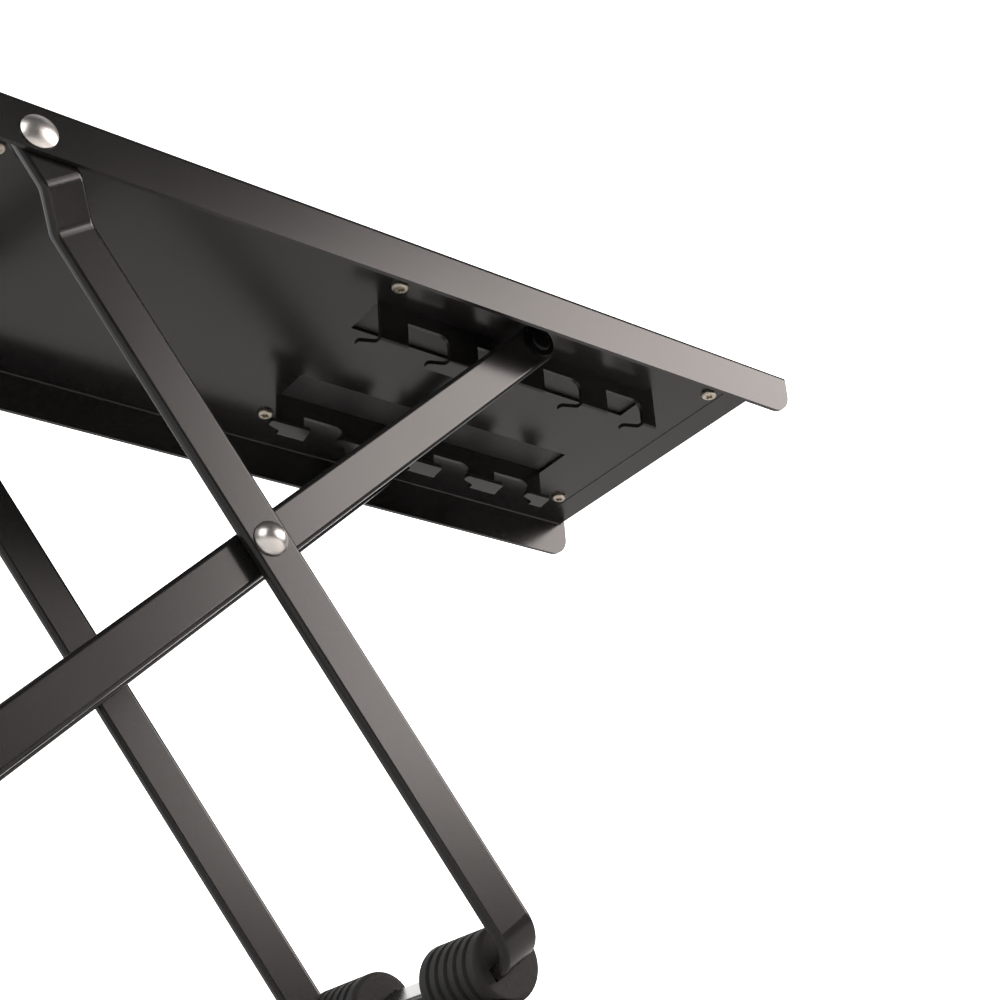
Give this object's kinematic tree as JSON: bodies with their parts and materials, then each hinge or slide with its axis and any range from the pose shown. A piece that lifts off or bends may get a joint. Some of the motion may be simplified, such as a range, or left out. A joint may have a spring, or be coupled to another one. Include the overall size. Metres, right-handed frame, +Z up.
{
  "type": "folding foot rest",
  "caption": "Folding height-adjustable foot rest: sheet-steel tread with a notched rack underneath, on crossed flat-bar legs.",
  "frame": {"origin": "middle of the bounding box at floor level, in the standing pose", "axes": "+X along the tread from the hinged end to the free end, +Y across it, +Z up"},
  "size_m": [0.266, 0.1138, 0.1916],
  "materials": {
    "black_powder_coat": "satin powder coat",
    "rivet_steel": "polished dome",
    "screw_steel": "plated, slightly warm",
    "black_steel": "blackened steel",
    "rubber": "matte",
    "board_plastic": "matte moulded"
  },
  "bodies": {
    "outer": {"outer_frame": "black_powder_coat", "cross_rivet_front": "rivet_steel", "cross_washer_front": "black_steel", "hinge_rivet_front": "rivet_steel", "hinge_washer_front": "black_steel", "outer_foot_front": "rubber", "cross_rivet_back": "rivet_steel", "cross_washer_back": "black_steel", "hinge_rivet_back": "rivet_steel", "hinge_washer_back": "black_steel", "outer_foot_back": "rubber"},
    "inner": {"inner_frame": "black_powder_coat", "latch_rod": "black_steel", "rod_washer_front": "black_steel", "inner_foot_front": "rubber", "rod_washer_back": "black_steel", "inner_foot_back": "rubber"},
    "top": {"top_plate": "black_powder_coat", "tread_board": "board_plastic", "rubber_mat": "rubber", "tread_screw_1": "screw_steel", "tread_screw_2": "screw_steel", "tread_screw_3": "screw_steel", "tread_screw_4": "screw_steel", "tread_screw_5": "screw_steel", "tread_screw_6": "screw_steel"}
  },
  "joints": [
    {"name": "top_hinge", "type": "hinge", "parent": "outer", "child": "top", "pos_m": [-0.09795, 0, 0.17698], "axis": [0, -1, 0], "range_deg": [0, 100]},
    {"name": "cross_pivot", "type": "hinge", "parent": "outer", "child": "inner", "pos_m": [-0.03548, 0, 0.0942], "axis": [0, 1, 0], "range_deg": [0, 75]}
  ]
}
